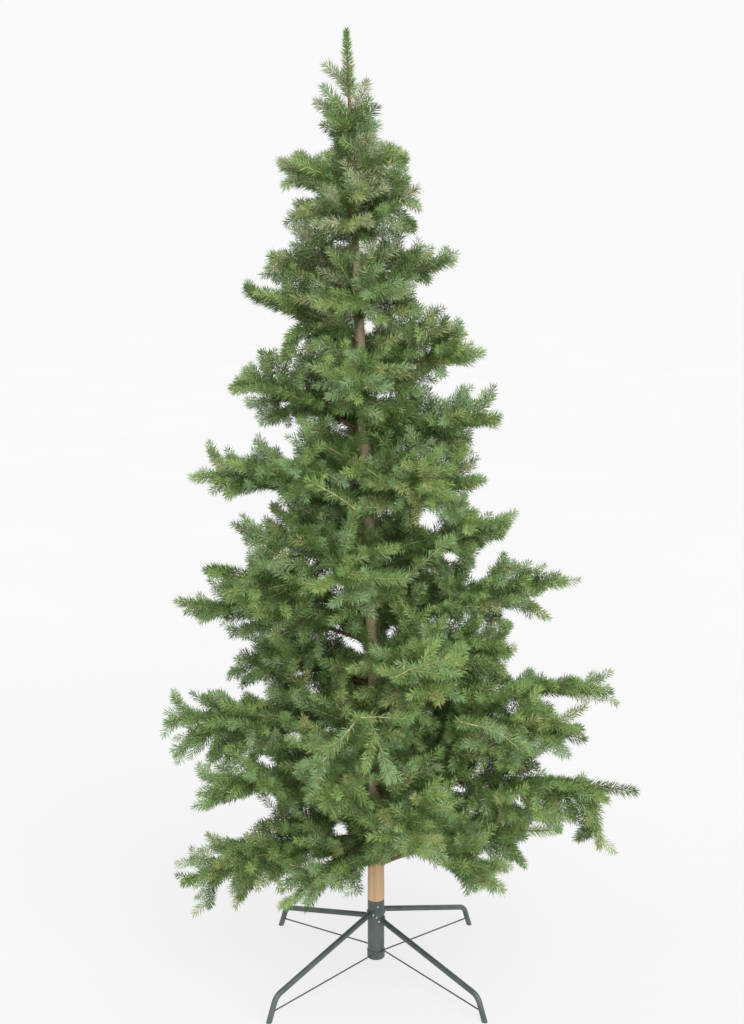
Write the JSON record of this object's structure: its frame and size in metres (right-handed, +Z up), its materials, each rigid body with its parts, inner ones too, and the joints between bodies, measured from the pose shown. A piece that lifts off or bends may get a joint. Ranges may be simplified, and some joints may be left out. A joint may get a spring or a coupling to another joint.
{
  "type": "artificial christmas tree",
  "caption": "Slim artificial christmas tree with a leaning wood-look pole, open tiers of spruce-like boughs and a folding four-legged steel stand.",
  "frame": {"origin": "on the floor, under the middle of the tree's outline", "axes": "+Z up; +X to the right and +Y to the back, seen from the front of the tree"},
  "size_m": [1.065, 0.8626, 2.1],
  "materials": {
    "trunk_wrap": "satin wood-look wrap on a steel pole, light tan",
    "bough_wrap": "brown taped wire",
    "needle_green": "soft plastic needles in several greens, satin",
    "stand_paint": "satin dark grey-green powder coat",
    "cap_plastic": "moulded dark grey-green plastic"
  },
  "bodies": {
    "root": {"bough_1_1": "bough_wrap", "bough_1_2": "bough_wrap", "bough_1_3": "bough_wrap", "bough_1_4": "bough_wrap", "bough_1_5": "bough_wrap", "foliage_10_1": "needle_green", "foliage_10_2": "needle_green", "foliage_10_3": "needle_green", "foliage_10_4": "needle_green", "foliage_10_5": "needle_green", "foliage_1_1": "needle_green", "foliage_1_2": "needle_green", "foliage_1_3": "needle_green", "foliage_1_4": "needle_green", "foliage_1_5": "needle_green", "foliage_2_1": "needle_green", "foliage_2_2": "needle_green", "foliage_2_3": "needle_green", "foliage_2_4": "needle_green", "foliage_2_5": "needle_green", "foliage_3_1": "needle_green", "foliage_3_2": "needle_green", "foliage_3_3": "needle_green", "foliage_3_4": "needle_green", "foliage_3_5": "needle_green", "foliage_4_1": "needle_green", "foliage_4_2": "needle_green", "foliage_4_3": "needle_green", "foliage_4_4": "needle_green", "foliage_4_5": "needle_green", "foliage_5_1": "needle_green", "foliage_5_2": "needle_green", "foliage_5_3": "needle_green", "foliage_5_4": "needle_green", "foliage_5_5": "needle_green", "foliage_6_1": "needle_green", "foliage_6_2": "needle_green", "foliage_6_3": "needle_green", "foliage_6_4": "needle_green", "foliage_6_5": "needle_green", "foliage_7_1": "needle_green", "foliage_7_2": "needle_green", "foliage_7_3": "needle_green", "foliage_7_4": "needle_green", "foliage_8_1": "needle_green", "foliage_8_2": "needle_green", "foliage_8_3": "needle_green", "foliage_8_4": "needle_green", "foliage_9_1": "needle_green", "foliage_9_2": "needle_green", "foliage_9_3": "needle_green", "foliage_9_4": "needle_green", "foliage_leader": "needle_green", "stand_end_cap": "cap_plastic", "stand_leg_1": "stand_paint", "stand_leg_2": "stand_paint", "stand_leg_3": "stand_paint", "stand_leg_4": "stand_paint", "stand_sleeve": "stand_paint", "trunk_pole": "trunk_wrap"}
  },
  "joints": []
}
